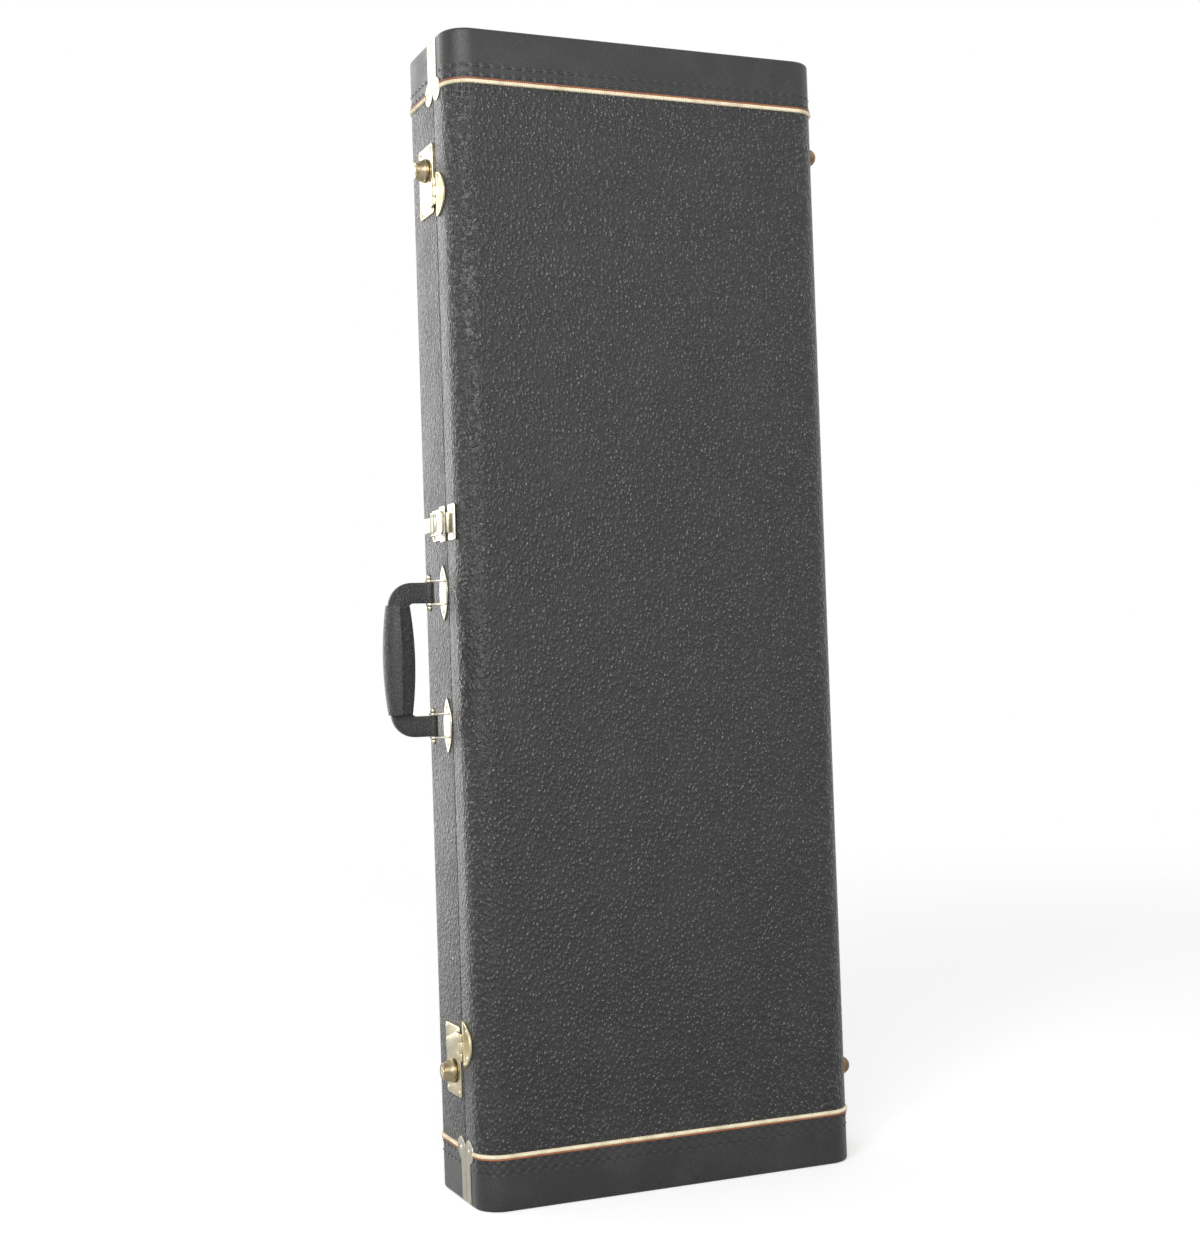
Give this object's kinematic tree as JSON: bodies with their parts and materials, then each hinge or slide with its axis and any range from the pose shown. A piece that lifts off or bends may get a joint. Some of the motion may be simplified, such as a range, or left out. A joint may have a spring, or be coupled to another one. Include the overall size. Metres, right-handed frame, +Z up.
{
  "type": "guitar case",
  "caption": "Rectangular hard-shell case for an electric guitar: hinged lid, key locks, draw latch, leather handle, piped leather end caps and a padded interior.",
  "frame": {"origin": "centre of the case's section on the bottom end face, which the case stands on", "axes": "+Z up along the case's length, -Y out of the lid's large face, -X out of the handle and lock side, +X out of the hinge side"},
  "size_m": [0.4375, 0.132, 1.04],
  "materials": {
    "plywood": "plain sawn plywood edge",
    "grained_vinyl": "black vinyl with a fine raised pebble grain, semi-gloss",
    "plush": "short-pile plush",
    "cap_leather": "smooth black leathercloth, lightly scuffed",
    "nickel": "worn nickel plate",
    "cream_piping": "cream bead with a red-brown thread line",
    "bronze": "dark bronze-brown plate",
    "steel": "plated steel",
    "brass": "pale polished brass plate",
    "antique_brass": "darkened brass",
    "nail_steel": "plated nail heads",
    "handle_leather": "black leather, stitched"
  },
  "bodies": {
    "body": {"body_wrap": "plywood", "body_covering": "grained_vinyl", "body_lining": "plush", "body_end_panel_bottom": "plywood", "body_cap_bottom": "cap_leather", "body_band_bottom": "nickel", "body_end_panel_top": "plywood", "body_cap_top": "cap_leather", "body_band_top": "nickel", "body_piping": "cream_piping", "body_feet": "bronze", "lower_hinge_body_leaf": "steel", "middle_hinge_body_leaf": "steel", "upper_hinge_body_leaf": "steel", "hinge_pins": "steel", "lower_lock_plate": "brass", "upper_lock_plate": "brass", "latch_base": "nickel", "latch_lever_pin": "nickel", "lower_handle_mount": "nickel", "upper_handle_mount": "nickel", "handle_pins": "nickel", "body_nails": "nail_steel", "back_pad": "plush", "body_surround": "plush", "neck_rest": "plush", "compartment_box": "plush"},
    "lid": {"lid_wrap": "plywood", "lid_covering": "grained_vinyl", "lid_lining": "plush", "lid_end_panel_bottom": "plywood", "lid_cap_bottom": "cap_leather", "lid_band_bottom": "nickel", "lid_end_panel_top": "plywood", "lid_cap_top": "cap_leather", "lid_band_top": "nickel", "lid_piping": "cream_piping", "lid_feet": "bronze", "lower_hinge_lid_leaf": "steel", "middle_hinge_lid_leaf": "steel", "upper_hinge_lid_leaf": "steel", "lid_nails": "nail_steel", "lid_pad": "plush", "lower_hasp_plate": "brass", "upper_hasp_plate": "brass", "hasp_pins": "brass", "latch_strike": "nickel"},
    "lower_hasp": {"lower_hasp": "brass"},
    "upper_hasp": {"upper_hasp": "brass"},
    "lower_knob": {"lower_lock_knob": "antique_brass"},
    "upper_knob": {"upper_lock_knob": "antique_brass"},
    "lower_cylinder": {"lower_key_cylinder": "antique_brass"},
    "upper_cylinder": {"upper_key_cylinder": "antique_brass"},
    "lever": {"latch_lever": "nickel", "latch_claw_pin": "nickel"},
    "claw": {"latch_claw": "nickel"},
    "handle": {"handle_strap": "handle_leather", "handle_grip": "handle_leather"},
    "flap": {"compartment_lid": "plush", "pull_tab": "handle_leather"}
  },
  "joints": [
    {"name": "lid_hinge", "type": "hinge", "parent": "body", "child": "lid", "pos_m": [0.1884, -0.021, 0.52], "axis": [0, 0, 1], "range_deg": [0, 105]},
    {"name": "lower_hasp_hinge", "type": "hinge", "parent": "lid", "child": "lower_hasp", "pos_m": [-0.1877, -0.024, 0.1385], "axis": [0, 0, 1], "range_deg": [0, 150]},
    {"name": "lower_knob_slide", "type": "slide", "parent": "body", "child": "lower_knob", "axis": [0, 0, -1], "range_m": [0, 0.0065], "stiffness_N_per_m": 300, "springref_m": -0.003},
    {"name": "lower_key_turn", "type": "hinge", "parent": "lower_knob", "child": "lower_cylinder", "pos_m": [-0.1971, 0.003, 0.1135], "axis": [-1, 0, 0], "range_deg": [0, 90]},
    {"name": "upper_hasp_hinge", "type": "hinge", "parent": "lid", "child": "upper_hasp", "pos_m": [-0.1877, -0.024, 0.9015], "axis": [0, 0, 1], "range_deg": [0, 150]},
    {"name": "upper_knob_slide", "type": "slide", "parent": "body", "child": "upper_knob", "axis": [0, 0, 1], "range_m": [0, 0.0065], "stiffness_N_per_m": 300, "springref_m": -0.003},
    {"name": "upper_key_turn", "type": "hinge", "parent": "upper_knob", "child": "upper_cylinder", "pos_m": [-0.1971, 0.003, 0.9265], "axis": [-1, 0, 0], "range_deg": [0, 90]},
    {"name": "latch_lever_hinge", "type": "hinge", "parent": "body", "child": "lever", "pos_m": [-0.1912, -0.008, 0.6035], "axis": [0, 0, 1], "range_deg": [0, 125]},
    {"name": "latch_claw_hinge", "type": "hinge", "parent": "lever", "child": "claw", "pos_m": [-0.1922, -0.002, 0.6035], "axis": [0, 0, 1], "range_deg": [-151, 0]},
    {"name": "handle_swing", "type": "hinge", "parent": "body", "child": "handle", "pos_m": [-0.1995, -0.0095, 0.4825], "axis": [0, 0, 1], "range_deg": [-80, 80]},
    {"name": "flap_hinge", "type": "hinge", "parent": "body", "child": "flap", "pos_m": [-0.173, 0.0123, 0.6], "axis": [0, 0, -1], "range_deg": [0, 90]}
  ],
  "couplings": [
    {"joint": "latch_claw_hinge", "follows": "latch_lever_hinge", "ratio": -1.2}
  ]
}
